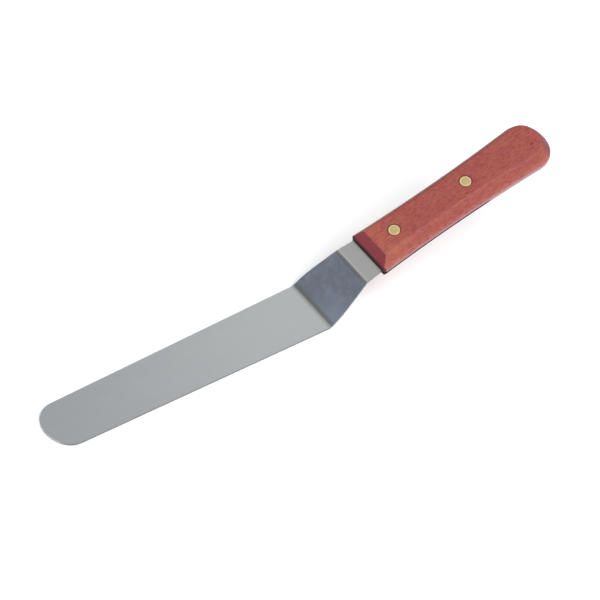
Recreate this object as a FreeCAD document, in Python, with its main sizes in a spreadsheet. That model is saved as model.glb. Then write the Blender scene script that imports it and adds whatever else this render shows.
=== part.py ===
import FreeCAD, Part
import math
import os

import Sketcher

# A cranked palette knife: one bent stainless blade whose flat tang sits in a saw
# kerf of a one-piece hardwood handle, held by two flush brass cutler's rivets.
# The blade lies flat on Z = 0 with its tip towards -X; the handle rises towards +X.
# The origin is the middle of the footprint, on the surface the blade lies on.

DIMENSIONS = {
    # steel: lengths run along its upper face, from crease to crease
    "steel_thickness": 1.2,
    "blade_length": 169.0,
    "heel_width": 31.75,
    "tip_width": 26.9,
    "tip_bulge": 9.0,
    "tip_corner_radius": 12.0,
    "crank_length": 29.8,
    "crank_angle": 42.4,
    "neck_width": 24.8,
    "shoulder_distance": 14.0,
    "shoulder_width": 29.9,
    "shoulder_bulge": 0.28,
    "heel_bend_radius": 2.8,
    "neck_bend_radius": 1.5,
    "shank_length": 9.8,
    "shank_width": 23.4,
    "tang_length": 69.2,
    "tang_end_width": 15.0,
    "tang_corner_radius": 4.0,
    # handle: its own X runs from the front face to the butt
    "handle_tilt": 18.0,
    "handle_length": 117.3,
    "handle_thickness": 15.8,
    "front_width": 28.0,
    "waist_curve_radius": 1086.0,
    "butt_width": 30.3,
    "butt_bulge": 6.6,
    "butt_corner_radius": 12.5,
    "side_slope_run": 4.3,
    "side_slope_drop": 7.1,
    "top_edge_radius": 2.5,
    "ridge_radius": 1.0,
    "bevel_top_setback": 5.0,
    "bevel_foot_setback": 0.5,
    "bevel_foot_height": 2.6,
    "front_corner_radius": 2.5,
    "kerf_depth": 69.8,
    "kerf_saw_radius": 76.0,
    # rivets
    "front_rivet_position": 17.65,
    "rear_rivet_position": 64.9,
    "rivet_head_diameter": 6.4,
    "rivet_head_height": 1.8,
    "rivet_head_bevel": 0.25,
    "rivet_pin_diameter": 3.0,
    "rivet_end_gap": 0.8,
    "rivet_tube_diameter": 4.4,
    "hole_clearance": 0.1,
}
CUT_MARGIN = 2.0        # how far cutting shapes stand clear of the piece they cut


def make_sheet(document, dimensions):
    """The driving dimensions, one named cell each."""
    table = document.addObject("Spreadsheet::Sheet", "sheet")
    for row, (alias, value) in enumerate(dimensions.items(), start=1):
        table.set(f"A{row}", alias)
        table.set(f"B{row}", str(value))
        table.setAlias(f"B{row}", alias)
    document.recompute()
    return table


doc = FreeCAD.newDocument("palette_knife")
sheet = make_sheet(doc, DIMENSIONS)


# ---------------------------------------------------------------- sketches

def new_body(label):
    body = doc.addObject("PartDesign::Body", label)
    body.Label = label
    return body


def new_sketch(body, name, plane):
    """A sketch of the body, lying on one of the body's own origin planes."""
    sketch = body.newObject("Sketcher::SketchObject", name)
    support = next(f for f in body.Origin.OriginFeatures if f.Role == plane)
    sketch.AttachmentSupport = [(support, "")]
    sketch.MapMode = "FlatFace"
    return sketch


def evaluate(expression):
    """The number that an expression of the sheet's cells has now."""
    value = sheet.evalExpression(expression)
    return float(getattr(value, "Value", value))


def drive(sketch, name, expression, kind, *refs):
    """Adds a dimension to a sketch and binds it to the sheet."""
    start = abs(evaluate(expression)) if kind == "Radius" else evaluate(expression)
    index = sketch.addConstraint(Sketcher.Constraint(kind, *refs, start))
    sketch.renameConstraint(index, name)
    sketch.setExpression(f"Constraints.{name}", expression)


def place_point(sketch, name, geometry, end, x, y):
    """Fixes one end of an edge by an x and a y dimension from the sketch's origin."""
    for axis, kind, reference_line, expression in (("x", "DistanceX", -2, x), ("y", "DistanceY", -1, y)):
        if abs(evaluate(expression)) < 1e-9:
            sketch.addConstraint(Sketcher.Constraint("PointOnObject", geometry, end, reference_line))
        else:
            drive(sketch, f"{name}_{axis}", expression, kind, -1, 1, geometry, end)


def outline(sketch, prefix, corners, bulges=None):
    """A closed outline through corners given as pairs of expressions.

    bulges maps the number of a side to (rise expression, direction): that side is an
    arc which stands out from its chord by the rise, to the left (1) or right (-1).
    """
    bulges = bulges or {}
    points = [FreeCAD.Vector(evaluate(x), evaluate(y), 0) for x, y in corners]
    sides = []
    for number, start in enumerate(points):
        stop = points[(number + 1) % len(points)]
        if number in bulges:
            rise, direction = bulges[number]
            edge = arc_over_chord(start, stop, evaluate(rise), direction)
        else:
            edge = Part.LineSegment(start, stop)
        sides.append(sketch.addGeometry(edge, False))
    ends = [end_numbers(sketch, side, points[number]) for number, side in enumerate(sides)]
    for number, side in enumerate(sides):
        following = (number + 1) % len(sides)
        sketch.addConstraint(Sketcher.Constraint(
            "Coincident", side, ends[number][1], sides[following], ends[following][0]))
    for number, (x, y) in enumerate(corners):
        place_point(sketch, f"{prefix}{number}", sides[number], ends[number][0], x, y)
    for number, (rise, _) in bulges.items():
        (x0, y0), (x1, y1) = corners[number], corners[(number + 1) % len(corners)]
        half_chord_squared = f"((({x1}) - ({x0}))^2 + (({y1}) - ({y0}))^2) / 4"
        radius = f"({half_chord_squared} + ({rise})^2) / (2 * ({rise}))"
        drive(sketch, f"{prefix}{number}_radius", radius, "Radius", sides[number])


def arc_over_chord(start, stop, rise, direction):
    """The arc that stands out by rise to the left (1) or right (-1) of its chord."""
    chord = stop - start
    radius = (chord.Length ** 2 / 4 + rise ** 2) / (2 * rise)
    left = FreeCAD.Vector(-chord.y, chord.x, 0).normalize()
    centre = (start + stop) * 0.5 - left * (direction * (radius - rise))
    first, last = (stop, start) if direction > 0 else (start, stop)
    angles = [math.atan2(p.y - centre.y, p.x - centre.x) for p in (first, last)]
    if angles[1] < angles[0]:
        angles[1] += 2 * math.pi
    return Part.ArcOfCircle(Part.Circle(centre, FreeCAD.Vector(0, 0, 1), radius), *angles)


def end_numbers(sketch, side, start):
    """Which end of an edge is its first along the outline (arcs always run one way)."""
    first = sketch.Geometry[side].StartPoint
    return (1, 2) if first.distanceToPoint(start) < 1e-6 else (2, 1)


# ---------------------------------------------------------------- features

def add_feature(body, kind, name, **settings):
    feature = body.newObject(f"PartDesign::{kind}", name)
    for key, value in settings.items():
        setattr(feature, key, value)
    return feature


def pad_both_ways(body, name, profile, height):
    pad = add_feature(body, "Pad", name, Profile=profile, SideType="Symmetric")
    pad.setExpression("Length", height)
    profile.Visibility = False
    doc.recompute()
    return pad


def cut_both_ways(body, name, profile, depth=None):
    """A pocket that runs out equally to both sides of its sketch; depth None is all."""
    before = body.Shape.Volume
    pocket = add_feature(body, "Pocket", name, Profile=profile, SideType="Symmetric")
    if depth is None:
        pocket.Type = "ThroughAll"
    else:
        pocket.setExpression("Length", depth)
    doc.recompute()
    check_removed(pocket, before)
    return pocket


def check_removed(feature, before):
    if not feature.Shape.Volume < before - 1e-6:
        raise RuntimeError(f"{feature.Name} removed nothing")


def edge_names(feature, wanted):
    """Names of the edges of a feature whose shape passes the test."""
    edges = feature.Shape.Edges
    return [f"Edge{number}" for number, edge in enumerate(edges, start=1) if wanted(edge)]


def round_edges(body, name, base, wanted, radius):
    """Fillets the edges of base that pass the test."""
    names = edge_names(base, wanted)
    if not names:
        raise RuntimeError(f"{name} found no edges")
    fillet = add_feature(body, "Fillet", name, Base=(base, names))
    fillet.setExpression("Radius", radius)
    doc.recompute()
    return fillet


# ---------------------------------------------------------------- shared positions

# The upper face of the steel, from the heel crease: crank, neck crease, shank.
NECK_X = "(sheet.crank_length * cos(sheet.crank_angle))"
NECK_Z = "(sheet.steel_thickness + sheet.crank_length * sin(sheet.crank_angle))"
TILT_COS = "cos(sheet.handle_tilt)"
TILT_SIN = "sin(sheet.handle_tilt)"
FRONT_X = f"({NECK_X} + sheet.shank_length * {TILT_COS})"
FRONT_Z = f"({NECK_Z} + sheet.shank_length * {TILT_SIN})"
# The middle of the steel where it enters the handle is the handle's own origin.
HANDLE_X = f"({FRONT_X} + sheet.steel_thickness / 2 * {TILT_SIN})"
HANDLE_Z = f"({FRONT_Z} - sheet.steel_thickness / 2 * {TILT_COS})"
# The heel crease stands off the origin so that the origin halves the whole length.
HEEL_X = f"((sheet.blade_length - {HANDLE_X} - sheet.handle_length * {TILT_COS}) / 2)"


def place_on_handle(body, distance):
    """Sets a body on the handle's axis, this far behind the front face, and tilts it."""
    body.Placement = FreeCAD.Placement(FreeCAD.Vector(), FreeCAD.Rotation(FreeCAD.Vector(0, -1, 0), 1))
    body.setExpression("Placement.Base.x", f"{HEEL_X} + {HANDLE_X} + {distance} * {TILT_COS}")
    body.setExpression("Placement.Base.z", f"{HANDLE_Z} + {distance} * {TILT_SIN}")
    body.setExpression("Placement.Rotation.Angle", "sheet.handle_tilt")


# ---------------------------------------------------------------- blade

def bend_underside(angle_before, angle_after):
    """Offset from a crease of the upper face to the same crease of the lower face."""
    share = f"sheet.steel_thickness / (1 + cos({angle_before} - {angle_after}))"
    across = f"{share} * (sin({angle_before}) + sin({angle_after}))"
    down = f"{share} * (cos({angle_before}) + cos({angle_after}))"
    return across, down


def make_blade():
    body = new_body("blade")
    crank, tilt = "sheet.crank_angle", "sheet.handle_tilt"
    heel_across, _ = bend_underside("0", crank)
    neck_across, neck_down = bend_underside(crank, tilt)
    tang_x = f"({FRONT_X} + sheet.tang_length * {TILT_COS})"
    tang_z = f"({FRONT_Z} + sheet.tang_length * {TILT_SIN})"

    # the bent strip seen from the side
    side = new_sketch(body, "blade_side", "XZ_Plane")
    outline(side, "p", [
        ("-sheet.blade_length", "0"),
        (heel_across, "0"),
        (f"{NECK_X} + {neck_across}", f"{NECK_Z} - {neck_down}"),
        (f"{tang_x} + sheet.steel_thickness * {TILT_SIN}", f"{tang_z} - sheet.steel_thickness * {TILT_COS}"),
        (tang_x, tang_z),
        (NECK_X, NECK_Z),
        ("0", "sheet.steel_thickness"),
        ("-sheet.blade_length", "sheet.steel_thickness"),
    ])
    strip = pad_both_ways(body, "blade_strip", side, "sheet.heel_width * 1.5")

    thickness = evaluate("sheet.steel_thickness")
    neck_x, neck_z = evaluate(NECK_X), evaluate(NECK_Z)
    upper_heel, lower_heel = (0, thickness), (evaluate(heel_across), 0)
    upper_neck = (neck_x, neck_z)
    lower_neck = (neck_x + evaluate(neck_across), neck_z - evaluate(neck_down))
    bent = strip
    for name, inside, outside in (("heel", upper_heel, lower_heel), ("neck", lower_neck, upper_neck)):
        radius = f"sheet.{name}_bend_radius"
        bent = round_edges(body, f"{name}_bend_inside", bent, crease_at(*inside), radius)
        bent = round_edges(body, f"{name}_bend_outside", bent, crease_at(*outside),
                           f"{radius} + sheet.steel_thickness")

    # the outline seen from above; a frame around it is cut away
    half = "sheet.{} / 2"
    stations = [
        ("sheet.tip_bulge - sheet.blade_length", half.format("tip_width")),
        ("0", half.format("heel_width")),
        ("sheet.shoulder_distance * cos(sheet.crank_angle)", half.format("shoulder_width")),
        (NECK_X, half.format("neck_width")),
        (FRONT_X, half.format("shank_width")),
        (tang_x, half.format("tang_end_width")),
    ]
    near_side = [(x, f"-{y}") for x, y in stations]
    plan = new_sketch(body, "blade_plan", "XY_Plane")
    last = 2 * len(stations) - 1
    shoulder = ("sheet.shoulder_bulge", -1)
    outline(plan, "p", near_side + stations[::-1],
            {1: shoulder, last - 2: shoulder, last: ("sheet.tip_bulge", -1)})
    far_x, far_y = f"{tang_x} + {CUT_MARGIN}", "sheet.heel_width"
    near_x = f"-sheet.blade_length - {CUT_MARGIN}"
    outline(plan, "frame", [(near_x, f"-{far_y}"), (far_x, f"-{far_y}"), (far_x, far_y), (near_x, far_y)])
    trimmed = cut_both_ways(body, "blade_trim", plan)

    rounded = trimmed
    for name, x, radius in (
        ("tip", evaluate("sheet.tip_bulge - sheet.blade_length"), "sheet.tip_corner_radius"),
        ("tang", evaluate(tang_x), "sheet.tang_corner_radius"),
    ):
        rounded = round_edges(body, f"{name}_corners", rounded, side_corner(x), radius)

    # two holes through the tang for the rivets, square to its faces
    for name in ("front_rivet", "rear_rivet"):
        before = body.Shape.Volume
        hole = add_feature(body, "SubtractiveCylinder", f"{name}_tang_hole")
        hole.setExpression("Radius", "(sheet.rivet_tube_diameter + sheet.hole_clearance) / 2")
        hole.setExpression("Height", f"sheet.steel_thickness + {2 * CUT_MARGIN}")
        centre = f"(sheet.steel_thickness / 2 + {CUT_MARGIN})"
        along = f"sheet.{name}_position"
        hole.Placement = FreeCAD.Placement(FreeCAD.Vector(), FreeCAD.Rotation(FreeCAD.Vector(0, -1, 0), 1))
        hole.setExpression("Placement.Base.x", f"{HANDLE_X} + {along} * {TILT_COS} + {centre} * {TILT_SIN}")
        hole.setExpression("Placement.Base.z", f"{HANDLE_Z} + {along} * {TILT_SIN} - {centre} * {TILT_COS}")
        hole.setExpression("Placement.Rotation.Angle", "sheet.handle_tilt")
        doc.recompute()
        check_removed(hole, before)
        rounded = hole
    body.Tip = rounded
    body.setExpression("Placement.Base.x", HEEL_X)
    return body


def crease_at(x, z):
    """Tests for the long edge of a sharp bend, at x and z."""
    def wanted(edge):
        points = [vertex.Point for vertex in edge.Vertexes]
        return all(abs(p.x - x) < 0.01 and abs(p.z - z) < 0.01 for p in points)
    return wanted


def side_corner(x):
    """Tests for the short edges through the sheet, at x and off the middle line."""
    def wanted(edge):
        first, last = edge.Vertexes[0].Point, edge.Vertexes[-1].Point
        short = len(edge.Vertexes) == 2 and 0.01 < first.distanceToPoint(last) < 3.0
        across_sheet = abs(first.y - last.y) < 0.03 and abs(first.z - last.z) > 0.5
        return short and across_sheet and abs(first.x - x) < 1.3 and abs(first.y) > 1.0
    return wanted


# ---------------------------------------------------------------- handle

def make_handle():
    body = new_body("handle")
    half_thick = "sheet.handle_thickness / 2"

    # outline at the widest level: straight front, waisted sides, bulging butt
    plan = new_sketch(body, "handle_plan", "XY_Plane")
    butt_x = "(sheet.handle_length - sheet.butt_bulge)"
    waist_chord = f"({butt_x}^2 + ((sheet.butt_width - sheet.front_width) / 2)^2)"
    waist_rise = ("(sheet.waist_curve_radius - sqrt(sheet.waist_curve_radius^2 - "
                  f"{waist_chord} / 4))")
    outline(plan, "p", [
        ("0", "-sheet.front_width / 2"), (butt_x, "-sheet.butt_width / 2"),
        (butt_x, "sheet.butt_width / 2"), ("0", "sheet.front_width / 2"),
    ], {0: (waist_rise, 1), 1: ("sheet.butt_bulge", -1), 2: (waist_rise, 1)})
    slab = pad_both_ways(body, "handle_slab", plan, "sheet.handle_thickness")
    butt = round_edges(body, "butt_corners", slab,
                       lambda edge: upright_at(edge, evaluate(butt_x)), "sheet.butt_corner_radius")

    # the long edges slope outwards from the flat faces to a ridge at mid height
    top = evaluate(half_thick)
    slopes = add_feature(body, "Chamfer", "side_slopes", ChamferType="Two distances")
    slopes.Base = (butt, edge_names(butt, lambda edge: on_face_rim(edge, top)))
    slopes.setExpression("Size", "sheet.side_slope_drop")
    slopes.setExpression("Size2", "sheet.side_slope_run")
    doc.recompute()
    half_flat = evaluate("sheet.handle_thickness / 2 - sheet.side_slope_drop")
    rims = round_edges(body, "top_rims", slopes,
                       lambda edge: on_face_rim(edge, top), "sheet.top_edge_radius")
    round_edges(body, "ridges", rims,
                lambda edge: on_face_rim(edge, half_flat), "sheet.ridge_radius")

    # the front end falls away in two facets, the same above and below
    bevel = new_sketch(body, "front_bevel", "XZ_Plane")
    above = f"{half_thick} + {CUT_MARGIN}"
    outline(bevel, "p", [
        ("0", "sheet.steel_thickness / 2"),
        ("sheet.bevel_foot_setback", "sheet.bevel_foot_height"),
        ("sheet.bevel_top_setback", half_thick),
        ("sheet.bevel_top_setback", above),
        (f"-{CUT_MARGIN}", above),
        (f"-{CUT_MARGIN}", "sheet.steel_thickness / 2"),
    ])
    upper = cut_both_ways(body, "front_bevel_cut", bevel)
    lower = add_feature(body, "Mirrored", "front_bevel_below", Originals=[upper])
    lower.MirrorPlane = (next(f for f in body.Origin.OriginFeatures if f.Role == "XY_Plane"), [""])
    body.Tip = lower
    doc.recompute()
    check_removed(lower, upper.Shape.Volume)

    # the two corners of the front end are rounded off, seen from above
    corners = new_sketch(body, "front_corners_plan", "XY_Plane")
    side = "sheet.front_width / 2"
    radius = "sheet.front_corner_radius"
    quarter_rise = f"{radius} * (1 - sqrt(0.5))"
    outline(corners, "p", [
        (radius, f"-{side}"), ("0", f"{radius} - {side}"),
        ("0", f"{side} - {radius}"), (radius, side),
        (radius, f"{side} + {CUT_MARGIN}"), (f"-{CUT_MARGIN}", f"{side} + {CUT_MARGIN}"),
        (f"-{CUT_MARGIN}", f"-({side} + {CUT_MARGIN})"), (radius, f"-({side} + {CUT_MARGIN})"),
    ], {0: (quarter_rise, 1), 2: (quarter_rise, 1)})
    cut_both_ways(body, "front_corners", corners)

    # the saw kerf that takes the tang, open at the front and along both sides
    kerf = new_sketch(body, "kerf_plan", "XY_Plane")
    half_kerf = f"(sheet.butt_width / 2 + {CUT_MARGIN})"
    saw_rise = f"(sheet.kerf_saw_radius - sqrt(sheet.kerf_saw_radius^2 - {half_kerf}^2))"
    kerf_edge = f"sheet.kerf_depth - {saw_rise}"
    outline(kerf, "p", [
        (f"-{CUT_MARGIN}", f"-{half_kerf}"), (kerf_edge, f"-{half_kerf}"),
        (kerf_edge, half_kerf), (f"-{CUT_MARGIN}", half_kerf),
    ], {1: (saw_rise, -1)})
    cut_both_ways(body, "kerf", kerf, "sheet.steel_thickness")

    # each rivet hole is stepped: narrow through the middle, wide for the two heads
    for name in ("front_rivet", "rear_rivet"):
        axis_x = f"sheet.{name}_position"
        wide = f"{axis_x} + (sheet.rivet_head_diameter + sheet.hole_clearance) / 2"
        narrow = f"{axis_x} + (sheet.rivet_tube_diameter + sheet.hole_clearance) / 2"
        step = f"{half_thick} - sheet.rivet_head_height"
        profile = new_sketch(body, f"{name}_hole_profile", "XZ_Plane")
        outline(profile, "p", [
            (axis_x, f"-({above})"), (wide, f"-({above})"), (wide, f"-({step})"), (narrow, f"-({step})"),
            (narrow, step), (wide, step), (wide, above), (axis_x, above),
        ])
        turn_about_side(body, "Groove", f"{name}_hole", profile, 7)
    place_on_handle(body, "0")
    return body


def turn_about_side(body, kind, name, profile, side):
    """Revolves a closed profile once round one of its own straight sides."""
    before = body.Shape.Volume if kind == "Groove" else 0.0
    turned = add_feature(body, kind, name, Profile=profile)
    turned.ReferenceAxis = (profile, [f"Edge{side + 1}"])
    turned.Angle = 360
    doc.recompute()
    if kind == "Groove":
        check_removed(turned, before)
    return turned


def upright_at(edge, x):
    first, last = edge.Vertexes[0].Point, edge.Vertexes[-1].Point
    return math.hypot(first.x - last.x, first.y - last.y) < 0.01 and abs(first.x - x) < 0.5


def on_face_rim(edge, height):
    """An edge of the upper or lower flat face, other than the straight front one."""
    points = [vertex.Point for vertex in edge.Vertexes]
    level = all(abs(abs(p.z) - height) < 0.01 for p in points)
    front = all(abs(p.x) < 0.01 for p in points)
    return level and not front


# ---------------------------------------------------------------- rivets

def make_rivets():
    """Two cutler's rivets: a stud with a solid pin, pressed up into a tubular half."""
    face = "sheet.handle_thickness / 2"
    shoulder = f"({face} - sheet.rivet_head_height)"
    bevel = "sheet.rivet_head_bevel"
    head = "sheet.rivet_head_diameter / 2"
    pin = "sheet.rivet_pin_diameter / 2"
    bore = "(sheet.rivet_pin_diameter + sheet.hole_clearance) / 2"
    tube = "sheet.rivet_tube_diameter / 2"
    profiles = {
        # the stud comes from above, the tube from below
        "stud": [("0", f"-{shoulder} + sheet.rivet_end_gap"), (pin, f"-{shoulder} + sheet.rivet_end_gap"),
                 (pin, shoulder), (head, shoulder), (head, f"{face} - {bevel}"),
                 (f"{head} - {bevel}", face), ("0", face)],
        "tube": [("0", f"-{face}"), (f"{head} - {bevel}", f"-{face}"), (head, f"-{face} + {bevel}"),
                 (head, f"-{shoulder}"), (tube, f"-{shoulder}"), (tube, f"{shoulder} - sheet.rivet_end_gap"),
                 (bore, f"{shoulder} - sheet.rivet_end_gap"), (bore, f"-{shoulder}"), ("0", f"-{shoulder}")],
    }
    bodies = []
    for place in ("front_rivet", "rear_rivet"):
        for half, corners in profiles.items():
            body = new_body(f"{place}_{half}")
            profile = new_sketch(body, f"{place}_{half}_profile", "XZ_Plane")
            outline(profile, "p", corners)
            turn_about_side(body, "Revolution", f"{place}_{half}_turned", profile, len(corners) - 1)
            place_on_handle(body, f"sheet.{place}_position")
            bodies.append(body)
    return bodies


# ---------------------------------------------------------------- check and write

def check_document():
    for obj in doc.Objects:
        if {"Invalid", "Error"} & set(obj.State):
            raise RuntimeError(f"{obj.Name}: {obj.getStatusString()}")


def write_parts(bodies):
    for body in bodies:
        if body.Shape.isNull() or not body.Shape.isValid() or len(body.Shape.Solids) != 1:
            raise RuntimeError(f"{body.Label} is not one valid solid")
    os.makedirs("parts", exist_ok=True)
    for body in bodies:
        body.Shape.exportStep(f"parts/{body.Label}.step")


pieces = [make_blade(), make_handle(), *make_rivets()]
doc.recompute()
check_document()
write_parts(pieces)
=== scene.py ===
"""A cranked palette knife: satin stainless blade, reddish hardwood handle, two brass cutler's rivets."""
import math

import bpy
from mathutils import Matrix, Vector


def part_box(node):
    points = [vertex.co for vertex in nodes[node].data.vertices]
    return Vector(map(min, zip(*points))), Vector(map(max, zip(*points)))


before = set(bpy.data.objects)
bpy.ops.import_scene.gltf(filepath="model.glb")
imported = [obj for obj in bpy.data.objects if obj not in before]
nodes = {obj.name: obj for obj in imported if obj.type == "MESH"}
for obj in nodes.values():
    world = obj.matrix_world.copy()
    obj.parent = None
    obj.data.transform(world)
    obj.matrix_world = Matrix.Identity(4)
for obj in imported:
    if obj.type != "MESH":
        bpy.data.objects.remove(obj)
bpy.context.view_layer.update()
scene = bpy.context.scene

MM = 0.001

# ---- driving dimensions of the knife, repeated from the design -------------------------------

STEEL_THICKNESS = 1.2 * MM
BLADE_LENGTH = 169.0 * MM
CRANK_LENGTH = 29.8 * MM
CRANK_ANGLE = math.radians(42.4)
SHANK_LENGTH = 9.8 * MM
HANDLE_TILT = math.radians(18.0)
HANDLE_THICKNESS = 15.8 * MM
FRONT_RIVET = 17.65 * MM
REAR_RIVET = 64.9 * MM
RIVET_HEAD_RADIUS = 3.2 * MM
BEVEL_FOOT_HEIGHT = 2.6 * MM
KERF_DEPTH = 69.8 * MM
PIN_KNOT = (106.2 * MM, -3.8 * MM, HANDLE_THICKNESS / 2)

# ---- places worked out from the frame and those dimensions -----------------------------------

blade_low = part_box("blade")[0]
HEEL = Vector((blade_low.x + BLADE_LENGTH, 0, STEEL_THICKNESS))
NECK = HEEL + CRANK_LENGTH * Vector((math.cos(CRANK_ANGLE), 0, math.sin(CRANK_ANGLE)))
ALONG_HANDLE = Vector((math.cos(HANDLE_TILT), 0, math.sin(HANDLE_TILT)))
UP_FROM_HANDLE = Vector((-math.sin(HANDLE_TILT), 0, math.cos(HANDLE_TILT)))
HEEL_CORNER = Vector((HEEL.x + 2.5 * MM, blade_low.y + 1.5 * MM, HEEL.z))
HANDLE_FRONT = NECK + SHANK_LENGTH * ALONG_HANDLE - STEEL_THICKNESS / 2 * UP_FROM_HANDLE

# ---- camera -----------------------------------------------------------------------------------

CAMERA_ELEVATION = math.radians(46.894)
CAMERA_AZIMUTH = math.radians(52.393)
CAMERA_ROLL = math.radians(18.310)
CAMERA_DISTANCE = 1540.49 * MM
HEEL_RIGHT_OF_CENTRE = 5.779 * MM
HEEL_ABOVE_CENTRE = -3.412 * MM
LENS = 180
SENSOR = 36


def point_camera():
    """A long lens looks down at the heel of the blade from the tip end and the near side."""
    level = math.cos(CAMERA_ELEVATION)
    back = Vector((
        -math.sin(CAMERA_AZIMUTH) * level,
        -math.cos(CAMERA_AZIMUTH) * level,
        math.sin(CAMERA_ELEVATION),
    ))
    flat_right = Vector((math.cos(CAMERA_AZIMUTH), -math.sin(CAMERA_AZIMUTH), 0))
    flat_up = back.cross(flat_right)
    right = math.cos(CAMERA_ROLL) * flat_right + math.sin(CAMERA_ROLL) * flat_up
    up = math.cos(CAMERA_ROLL) * flat_up - math.sin(CAMERA_ROLL) * flat_right
    place = HEEL + CAMERA_DISTANCE * back - HEEL_RIGHT_OF_CENTRE * right - HEEL_ABOVE_CENTRE * up
    lens = bpy.data.cameras.new("camera")
    lens.lens = LENS
    lens.sensor_width = SENSOR
    camera = bpy.data.objects.new("camera", lens)
    camera.matrix_world = Matrix.Translation(place) @ Matrix((right, up, back)).transposed().to_4x4()
    scene.collection.objects.link(camera)
    scene.camera = camera


# ---- light and floor ---------------------------------------------------------------------------

SKY_BRIGHT_SIDE = (0.75, 0.1, 0.65)
SKY_STOPS = (
    (0.30, (0.32, 0.34, 0.40)),
    (0.50, (0.37, 0.38, 0.43)),
    (0.88, (0.79, 0.775, 0.72)),
    (0.97, (0.595, 0.64, 0.685)),
)
# name, place and size in metres, power in watts, tint
PANELS = (
    ("top_panel", (0.25, -0.95, 1.8), 1.6, 34, (1, 1, 1)),
    ("handle_panel", (0.50, 0.34, 0.62), 0.3, 0.14, (1, 0.96, 0.90)),
)
FLOOR_SIZE = 6
FLOOR_TONE = 0.92
FLOOR_GLOW = 0.12

# ---- node graphs --------------------------------------------------------------------------------

class Graph:
    """Adds nodes to a material or world and wires them, one call to a node."""

    def __init__(self, owner):
        owner.use_nodes = True
        self.tree = owner.node_tree
        self.tree.nodes.clear()

    def add(self, kind, *inputs, **settings):
        """A node with its settings made and its first inputs filled by values or links."""
        node = self.tree.nodes.new(kind)
        for name, value in settings.items():
            setattr(node, name, value)
        for socket, value in zip(node.inputs, inputs):
            self.fill(socket, value)
        return node

    def fill(self, socket, value):
        if isinstance(value, bpy.types.NodeSocket):
            self.tree.links.new(value, socket)
        elif value is not None:
            socket.default_value = value

    def shader(self, links, **values):
        """The Principled shader, with links to some sockets and plain values on others."""
        node = self.tree.nodes.new("ShaderNodeBsdfPrincipled")
        for name, value in {**values, **links}.items():
            self.fill(node.inputs[name.replace("_", " ")], value)
        output = self.tree.nodes.new("ShaderNodeOutputMaterial")
        self.tree.links.new(node.outputs["BSDF"], output.inputs["Surface"])

    def place(self, origin, tilt):
        """Distances in metres along, across and up from an origin, in axes tilted about Y."""
        where = self.add("ShaderNodeTexCoord").outputs["Object"]
        turn = self.add("ShaderNodeMapping", where, origin, (0, -tilt, 0), vector_type="TEXTURE")
        return turn.outputs["Vector"]

    def facing(self, direction):
        """How much the surface faces a direction, from 1 down to -1."""
        normal = self.add("ShaderNodeTexCoord").outputs["Normal"]
        node = self.add("ShaderNodeVectorMath", normal, direction, operation="DOT_PRODUCT")
        return node.outputs["Value"]

    def split(self, vector):
        return self.add("ShaderNodeSeparateXYZ", vector).outputs

    def math(self, operation, first, second=None):
        return self.add("ShaderNodeMath", first, second, operation=operation).outputs["Value"]

    def ease(self, value, start, end):
        """0 at the start, 1 at the end, smooth between; the start may be the larger one."""
        low, high = min(start, end), max(start, end)
        ends = (0.0, 1.0) if end > start else (1.0, 0.0)
        node = self.add("ShaderNodeMapRange", value, low, high, *ends, interpolation_type="SMOOTHSTEP")
        return node.outputs["Result"]

    def band(self, value, middle, width):
        """1 at the middle, easing to 0 at half the width either side."""
        off = self.math("ABSOLUTE", self.math("SUBTRACT", value, middle))
        return self.ease(off, width / 2, 0)

    def scaled(self, value, span, start):
        node = self.add("ShaderNodeMath", value, span, start, operation="MULTIPLY_ADD")
        return node.outputs["Value"]

    def distance(self, where, point):
        return self.add("ShaderNodeVectorMath", where, point, operation="DISTANCE").outputs["Value"]

    def from_rivet(self, along, across):
        """Distance from the axis of the nearer rivet."""
        middle = (FRONT_RIVET + REAR_RIVET) / 2
        off_middle = self.math("ABSOLUTE", self.math("SUBTRACT", along, middle))
        off_axis = self.math("SUBTRACT", off_middle, REAR_RIVET - middle)
        flat = self.add("ShaderNodeCombineXYZ", off_axis, across).outputs["Vector"]
        return self.add("ShaderNodeVectorMath", flat, operation="LENGTH").outputs["Value"]

    def noise(self, where, size, detail=2.0, roughness=0.5, distortion=0.0):
        """Noise whose features have the given size along each axis."""
        scale = tuple(1 / length for length in size)
        stretched = self.add("ShaderNodeVectorMath", where, scale, operation="MULTIPLY")
        node = self.add("ShaderNodeTexNoise", stretched.outputs["Vector"])
        values = {"Scale": 1.0, "Detail": detail, "Roughness": roughness, "Distortion": distortion}
        for name, value in values.items():
            node.inputs[name].default_value = value
        return node.outputs["Fac"]

    def ramp(self, value, *stops):
        """Colours or greys between (position, colour) stops."""
        node = self.add("ShaderNodeValToRGB", value)
        elements = node.color_ramp.elements
        while len(elements) < len(stops):
            elements.new(0.5)
        for element, (position, shade) in zip(elements, stops):
            element.position = position
            element.color = (*shade, 1)
        return node.outputs["Color"]

    def mix(self, factor, first, second, blend="MIX"):
        node = self.add("ShaderNodeMix", data_type="RGBA", blend_type=blend)
        self.fill(node.inputs["Factor"], factor)
        colour_inputs = [socket for socket in node.inputs if socket.type == "RGBA"]
        self.fill(colour_inputs[0], first)
        self.fill(colour_inputs[1], second)
        return next(socket for socket in node.outputs if socket.type == "RGBA")

    def paint(self, tone, mask, strength, over):
        """A tone with another colour laid over it where the mask is up, at the given strength."""
        return self.mix(self.math("MULTIPLY", mask, strength), tone, over)

    def bump(self, height, depth, strength=1.0, under=None):
        node = self.add("ShaderNodeBump")
        values = {"Strength": strength, "Distance": depth, "Height": height, "Normal": under}
        for name, value in values.items():
            self.fill(node.inputs[name], value)
        return node.outputs["Normal"]


def colour(red, green, blue):
    return (red, green, blue, 1)


# ---- materials ------------------------------------------------------------------------------------

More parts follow.
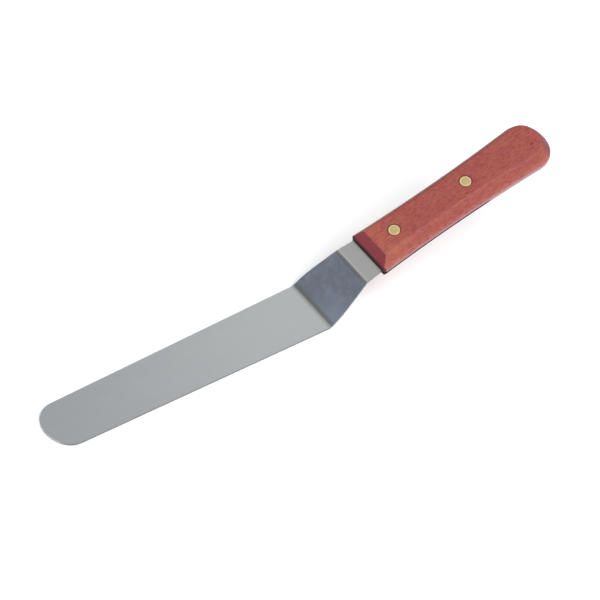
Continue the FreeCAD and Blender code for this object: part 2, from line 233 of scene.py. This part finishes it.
def satin_steel(material):
    """Stainless sheet brushed along its length, with painted reflection and highlights on the crank and
    its bends, and darker edges.
    """
    graph = Graph(material)
    where = graph.add("ShaderNodeTexCoord").outputs["Object"]
    across = graph.split(where)["X"]
    lines = graph.noise(where, (14 * MM, 0.22 * MM, 14 * MM), detail=3)
    drift = graph.noise(where, (40 * MM, 9 * MM, 40 * MM), detail=2)
    clouds = graph.noise(where, (8 * MM, 8 * MM, 8 * MM), detail=2, roughness=0.6)

    # plain sheet, a little cooler in tone in some places
    tone = graph.mix(drift, colour(0.48, 0.485, 0.485), colour(0.51, 0.51, 0.50))

    # the crank between the two bends: a painted reflection in clouded darker blue and grey, and a
    # painted highlight palest at the near corner of the heel
    past_heel = graph.ease(across, HEEL.x - 0.2 * MM, HEEL.x + 1.2 * MM)
    before_neck = graph.ease(across, NECK.x + 0.1 * MM, NECK.x - 0.9 * MM)
    crank_reflection = graph.ramp(
        clouds,
        (0.32, (0.48, 0.50, 0.57)),
        (0.44, (0.40, 0.45, 0.50)),
        (0.54, (0.36, 0.40, 0.43)),
        (0.68, (0.44, 0.44, 0.52)),
    )
    corner_highlight = graph.ease(graph.distance(where, HEEL_CORNER), 19 * MM, 4 * MM)
    crank_reflection = graph.paint(crank_reflection, corner_highlight, 0.85, colour(0.52, 0.58, 0.66))
    tone = graph.mix(graph.math("MULTIPLY", past_heel, before_neck), tone, crank_reflection)

    # the bends themselves: darker olive-brown bands, and a painted highlight line beyond the neck
    heel_band = graph.band(across, HEEL.x + 1.2 * MM, 3.2 * MM)
    neck_band = graph.band(across, NECK.x - 0.9 * MM, 2.0 * MM)
    bends = graph.math("MAXIMUM", heel_band, neck_band)
    bend_darkening = graph.math("MULTIPLY", bends, graph.ease(clouds, 0.1, 0.5))
    tone = graph.paint(tone, bend_darkening, 0.75, colour(0.33, 0.325, 0.275))
    neck_highlight = graph.band(across, NECK.x + 0.5 * MM, 1.1 * MM)
    tone = graph.paint(tone, neck_highlight, 0.8, colour(0.62, 0.64, 0.62))

    # the edge faces of the sheet darker grey
    edge = graph.ease(graph.math("ABSOLUTE", graph.facing((0, 1, 0))), 0.45, 0.8)
    tone = graph.paint(tone, edge, 0.8, colour(0.16, 0.165, 0.17))

    streak = graph.ramp(lines, (0.3, (0.94, 0.94, 0.94)), (0.7, (1, 1, 1)))
    tone = graph.mix(1.0, tone, streak, "MULTIPLY")
    rough = graph.scaled(graph.math("MAXIMUM", lines, edge), 0.12, 0.24)
    brushed = graph.bump(lines, 0.004 * MM, 0.5)
    graph.shader({"Base_Color": tone, "Roughness": rough, "Normal": brushed}, Metallic=1.0)


def red_hardwood(material):
    """Oiled red hardwood: mottled, streaked with dark pores, with darker end grain, paler sides, and
    painted shade and highlights.
    """
    graph = Graph(material)
    where = graph.place(HANDLE_FRONT, HANDLE_TILT)
    along, across, up = (graph.split(where)[axis] for axis in "XYZ")
    level = graph.math("ABSOLUTE", up)
    blotches = graph.noise(where, (12 * MM, 7 * MM, 7 * MM), 3, roughness=0.6, distortion=0.4)
    flecks = graph.noise(where, (2.6 * MM, 1.1 * MM, 1.1 * MM), 3, roughness=0.65, distortion=0.3)
    fibres = graph.noise(where, (6 * MM, 0.4 * MM, 0.4 * MM), detail=3, roughness=0.6)
    pores = graph.ease(graph.noise(where, (3.5 * MM, 0.8 * MM, 0.8 * MM), detail=2), 0.60, 0.70)

    tone = graph.ramp(
        blotches,
        (0.30, (0.345, 0.070, 0.068)),
        (0.45, (0.360, 0.080, 0.066)),
        (0.58, (0.365, 0.090, 0.066)),
        (0.72, (0.375, 0.080, 0.071)),
    )
    fleck = graph.ramp(flecks, (0.34, (0.80, 0.68, 0.72)), (0.50, (1, 1, 1)), (0.66, (1.07, 1.13, 1.08)))
    tone = graph.mix(1.0, tone, fleck, "MULTIPLY")
    thread = graph.ramp(fibres, (0.3, (0.86, 0.84, 0.84)), (0.7, (1.05, 1.05, 1.05)))
    tone = graph.mix(1.0, tone, thread, "MULTIPLY")

    # a warmer front third, dark pores, and one pin knot near the butt
    tone = graph.mix(graph.ease(along, 29 * MM, 8 * MM), tone, colour(1.12, 1.26, 1.08), "MULTIPLY")
    tone = graph.paint(tone, pores, 0.45, colour(0.17, 0.020, 0.028))
    knot = graph.ease(graph.distance(where, PIN_KNOT), 0.9 * MM, 0.3 * MM)
    tone = graph.paint(tone, knot, 0.85, colour(0.07, 0.012, 0.016))

    # the sides paler and pinker towards the widest line, broken up by the flecks, with a painted
    # highlight along the widest line itself
    low_side = graph.ease(level, 4.5 * MM, 1.0 * MM)
    paler_patches = graph.math("MULTIPLY", low_side, graph.ease(flecks, 0.25, 0.6))
    tone = graph.paint(tone, paler_patches, 0.5, colour(0.48, 0.20, 0.19))
    widest_highlight = graph.ease(level, 1.9 * MM, 0.7 * MM)
    tone = graph.paint(tone, widest_highlight, 0.7, colour(0.46, 0.30, 0.31))

    # the far side painted darker: painted shade on the side facing +Y
    far_side_shade = graph.ease(graph.facing((0, 1, 0)), 0.35, 0.8)
    tone = graph.paint(tone, far_side_shade, 0.5, colour(0.15, 0.035, 0.035))

    # end grain drinks more oil: the front facets and the rim of the butt
    end_grain = graph.ease(graph.math("ABSOLUTE", graph.facing(ALONG_HANDLE)), 0.30, 0.75)
    tone = graph.paint(tone, end_grain, 0.6, colour(0.27, 0.026, 0.066))
    butt = graph.ease(graph.facing(ALONG_HANDLE), 0.35, 0.75)
    tone = graph.paint(tone, butt, 0.5, colour(0.13, 0.040, 0.038))

    # the foot of the front facets and the inside of the kerf are painted nearly black: darker end grain
    # and painted shade at the foot, painted shade in the kerf
    foot_shade = graph.ease(level, BEVEL_FOOT_HEIGHT + 1.0 * MM, BEVEL_FOOT_HEIGHT)
    front = graph.ease(along, 2.4 * MM, 1.2 * MM)
    tone = graph.mix(graph.math("MULTIPLY", foot_shade, front), tone, colour(0.075, 0.026, 0.034))
    # painted shade: the inside of the kerf made nearly black
    in_kerf = graph.ease(level, STEEL_THICKNESS / 2 + 0.15 * MM, STEEL_THICKNESS / 2)
    kerf_shade = graph.math("MULTIPLY", in_kerf, graph.ease(along, KERF_DEPTH + 1.0 * MM, KERF_DEPTH))
    tone = graph.paint(tone, kerf_shade, 0.9, colour(0.05, 0.018, 0.018))

    # a dark ring round each rivet head: the joint line and painted shade around it
    radius = graph.from_rivet(along, across)
    rivet_joint_shade = graph.ease(radius, RIVET_HEAD_RADIUS + 0.8 * MM, RIVET_HEAD_RADIUS + 0.15 * MM)
    tone = graph.paint(tone, rivet_joint_shade, 0.85, colour(0.10, 0.030, 0.012))

    rough = graph.scaled(fibres, 0.16, 0.46)
    grain = graph.bump(graph.math("SUBTRACT", fibres, pores), 0.03 * MM, 0.5)
    links = {"Base_Color": tone, "Roughness": rough, "Normal": grain}
    graph.shader(links, IOR=1.46, Specular_IOR_Level=0.3)


def rivet_brass(material):
    """Brass heads faced off on a lathe: fine rings, a grainy centre and a paler rim."""
    graph = Graph(material)
    where = graph.place(HANDLE_FRONT, HANDLE_TILT)
    along, across = graph.split(where)["X"], graph.split(where)["Y"]
    radius = graph.from_rivet(along, across)
    rings = graph.math("SINE", graph.math("MULTIPLY", radius, math.tau / (0.35 * MM)))
    grains = graph.noise(where, (0.7 * MM, 0.7 * MM, 0.7 * MM), detail=3, roughness=0.6)
    rim = graph.ease(radius, 0.62 * RIVET_HEAD_RADIUS, 0.86 * RIVET_HEAD_RADIUS)
    tone = graph.ramp(grains, (0.35, (0.55, 0.45, 0.19)), (0.65, (0.72, 0.58, 0.29)))
    tone = graph.mix(rim, tone, colour(0.90, 0.66, 0.40))
    rough = graph.scaled(grains, 0.2, 0.36)
    turned = graph.bump(rings, 0.004 * MM, 0.4)
    turned = graph.bump(grains, 0.01 * MM, 0.4, turned)
    graph.shader({"Base_Color": tone, "Roughness": rough, "Normal": turned}, Metallic=1.0)


def finish_nodes():
    """Gives every CAD node the procedural material of its slot."""
    finishes = {"stainless_steel": satin_steel, "hardwood": red_hardwood, "brass": rivet_brass}
    made = {}
    for piece in nodes.values():
        slot = piece.material_slots[0]
        kind = slot.material.name
        if kind not in made:
            made[kind] = bpy.data.materials.new("finish_" + kind)
            finishes[kind](made[kind])
        slot.material = made[kind]


# ---- stage ------------------------------------------------------------------------------------------

def lay_floor():
    """A plain pale sheet under the knife, which glows faintly so that it stays clean and white."""
    bpy.ops.mesh.primitive_plane_add(size=FLOOR_SIZE)
    floor = bpy.context.object
    floor.name = "floor"
    paper = bpy.data.materials.new("pale_paper")
    graph = Graph(paper)
    graph.shader({}, Base_Color=colour(FLOOR_TONE, FLOOR_TONE, FLOOR_TONE), Roughness=0.9,
                 Specular_IOR_Level=0.1, Emission_Color=colour(1, 1, 1),
                 Emission_Strength=FLOOR_GLOW)
    floor.data.materials.append(paper)


def light_studio():
    """A soft sky, brighter from above and beyond the handle, and two square panels."""
    world = bpy.data.worlds.new("studio")
    graph = Graph(world)
    direction = graph.add("ShaderNodeTexCoord").outputs["Generated"]
    toward = graph.add("ShaderNodeVectorMath", direction, SKY_BRIGHT_SIDE, operation="DOT_PRODUCT")
    sky = graph.ramp(graph.ease(toward.outputs["Value"], -1.0, 1.0), *SKY_STOPS)
    seen = graph.add("ShaderNodeLightPath").outputs["Is Camera Ray"]
    shown = graph.mix(seen, sky, colour(1, 1, 1))
    background = graph.add("ShaderNodeBackground", shown, 1.0)
    graph.add("ShaderNodeOutputWorld", background.outputs["Background"])
    scene.world = world
    scene.view_settings.view_transform = "Standard"
    for name, place, size, power, tint in PANELS:
        hang_panel(name, Vector(place), size, power, tint)


def hang_panel(name, place, size, power, tint):
    """A square soft light that faces the knife."""
    light = bpy.data.lights.new(name, "AREA")
    light.size = size
    light.energy = power
    light.color = tint
    lamp = bpy.data.objects.new(name, light)
    lamp.location = place
    lamp.rotation_euler = place.to_track_quat("Z", "Y").to_euler()
    scene.collection.objects.link(lamp)


point_camera()
finish_nodes()
lay_floor()
light_studio()
